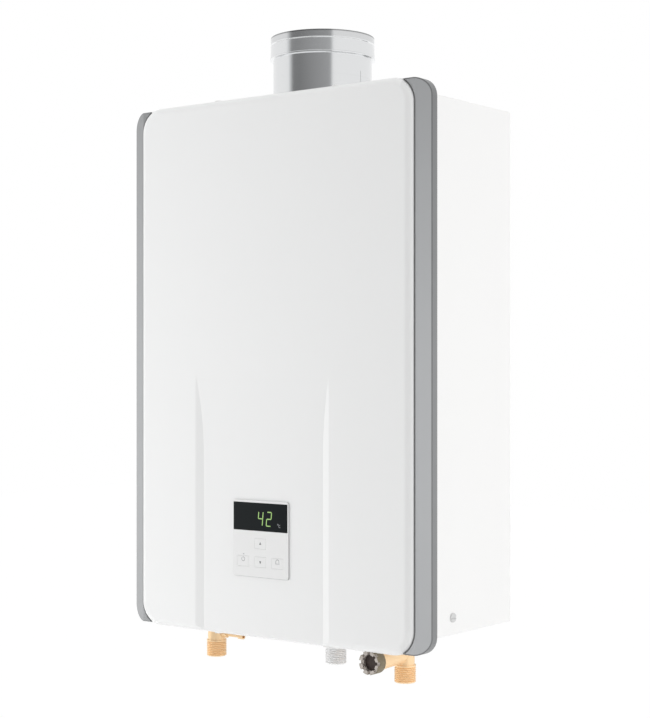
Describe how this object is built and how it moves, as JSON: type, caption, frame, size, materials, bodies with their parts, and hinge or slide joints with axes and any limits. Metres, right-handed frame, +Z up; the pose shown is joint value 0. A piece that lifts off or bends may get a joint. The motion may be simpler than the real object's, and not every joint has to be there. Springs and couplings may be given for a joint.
{
  "type": "gas water heater",
  "caption": "Wall-hung fan-flued gas water heater with a white pressed-steel front, grey side trims, a control panel with a digit display, a coaxial flue socket on top and pipe threads below.",
  "frame": {"origin": "centre of the four wall screw holes, on the wall plane at mid height of the front cover", "axes": "+X to the right seen from the front, +Y into the wall, +Z up"},
  "size_m": [0.37, 0.156, 0.6356],
  "materials": {
    "white_paint": "satin white powder coat",
    "grey_trim": "satin grey",
    "white_plastic": "fine matt",
    "dark_window": "gloss",
    "black_plastic": "matt",
    "circuit_board": "satin",
    "zinc_steel": "zinc plated",
    "flue_metal": "satin",
    "rubber": "matt",
    "copper": "satin copper",
    "brass": "cast and turned brass",
    "cast_aluminium": "as cast",
    "burner_steel": "stainless",
    "ceramic": "matt",
    "cap_plastic": "matt",
    "lead_rubber": "silicone"
  },
  "bodies": {
    "case": {"case_shell": "white_paint", "case_top": "white_paint", "case_bottom": "white_paint", "top_bracket": "zinc_steel", "bottom_bracket": "zinc_steel", "case_screws": "zinc_steel", "flue_outer_tube": "flue_metal", "flue_seal": "rubber", "flue_inner_tube": "flue_metal", "exhaust_hood": "burner_steel", "combustion_chamber": "copper", "heat_exchanger_fins": "copper", "heat_exchanger_tubes": "copper", "chamber_coil": "copper", "riser_pipe": "copper", "hot_pipe": "copper", "pipe_unions": "brass", "burner_box": "burner_steel", "burner_bars": "burner_steel", "gas_manifold": "cast_aluminium", "gas_nozzles": "brass", "gas_valve_body": "cast_aluminium", "gas_valve_coils": "black_plastic", "gas_feed_pipe": "zinc_steel", "gas_inlet_nipple": "zinc_steel", "cold_inlet_body": "brass", "flow_sensor_body": "black_plastic", "flow_valve_body": "brass", "flow_valve_motor": "black_plastic", "hot_outlet_body": "brass", "hot_bleed_nipple": "brass", "hot_thermistor": "black_plastic", "fan_scroll": "zinc_steel", "fan_motor": "zinc_steel", "board_tray": "white_plastic", "main_board": "circuit_board", "board_components": "black_plastic", "igniter": "black_plastic", "electrodes": "ceramic", "overheat_switch": "black_plastic", "ignition_lead": "lead_rubber", "cable_gland": "black_plastic"},
    "cover": {"front_cover": "white_paint", "left_trim": "grey_trim", "right_trim": "grey_trim", "cover_screws": "zinc_steel", "control_fascia": "white_plastic", "display_window": "dark_window", "display_module": "black_plastic", "control_board": "circuit_board"},
    "up_key": {"key_up": "white_plastic"},
    "down_key": {"key_down": "white_plastic"},
    "left_key": {"key_left": "white_plastic"},
    "right_key": {"key_right": "white_plastic"},
    "fan_wheel": {"fan_impeller": "zinc_steel"},
    "turbine": {"flow_turbine": "white_plastic"},
    "flow_plug": {"flow_valve_plug": "brass"},
    "strainer": {"filter_strainer": "burner_steel"},
    "cap": {"filter_cap": "cap_plastic"},
    "gas_plungers": {"gas_valve_plungers": "zinc_steel"}
  },
  "joints": [
    {"name": "cover_pull", "type": "slide", "parent": "case", "child": "cover", "axis": [0, -1, 0], "range_m": [0, 0.3]},
    {"name": "up_key_press", "type": "slide", "parent": "cover", "child": "up_key", "axis": [0, 1, 0], "range_m": [0, 0.0008], "stiffness_N_per_m": 400},
    {"name": "down_key_press", "type": "slide", "parent": "cover", "child": "down_key", "axis": [0, 1, 0], "range_m": [0, 0.0008], "stiffness_N_per_m": 400},
    {"name": "left_key_press", "type": "slide", "parent": "cover", "child": "left_key", "axis": [0, 1, 0], "range_m": [0, 0.0008], "stiffness_N_per_m": 400},
    {"name": "right_key_press", "type": "slide", "parent": "cover", "child": "right_key", "axis": [0, 1, 0], "range_m": [0, 0.0008], "stiffness_N_per_m": 400},
    {"name": "fan_spin", "type": "hinge", "parent": "case", "child": "fan_wheel", "pos_m": [-0.062, -0.0705, -0.169], "axis": [0, 1, 0], "continuous": true},
    {"name": "turbine_spin", "type": "hinge", "parent": "case", "child": "turbine", "pos_m": [0.1105, -0.0801, -0.204], "axis": [0, 0, 1], "continuous": true},
    {"name": "flow_valve_turn", "type": "hinge", "parent": "case", "child": "flow_plug", "pos_m": [0.1105, -0.0801, -0.159], "axis": [0, 1, 0], "range_deg": [0, 90]},
    {"name": "strainer_slide", "type": "slide", "parent": "case", "child": "strainer", "axis": [0, -1, 0], "range_m": [0, 0.007]},
    {"name": "filter_cap_turn", "type": "hinge", "parent": "strainer", "child": "cap", "pos_m": [0.1105, -0.134, -0.2772], "axis": [0, -1, 0], "range_deg": [0, 2521]},
    {"name": "gas_plunger_lift", "type": "slide", "parent": "case", "child": "gas_plungers", "axis": [0, -1, 0], "range_m": [0, 0.003], "stiffness_N_per_m": 300}
  ],
  "couplings": [
    {"joint": "filter_cap_turn", "follows": "strainer_slide", "rad_per_m": 6283.2}
  ]
}
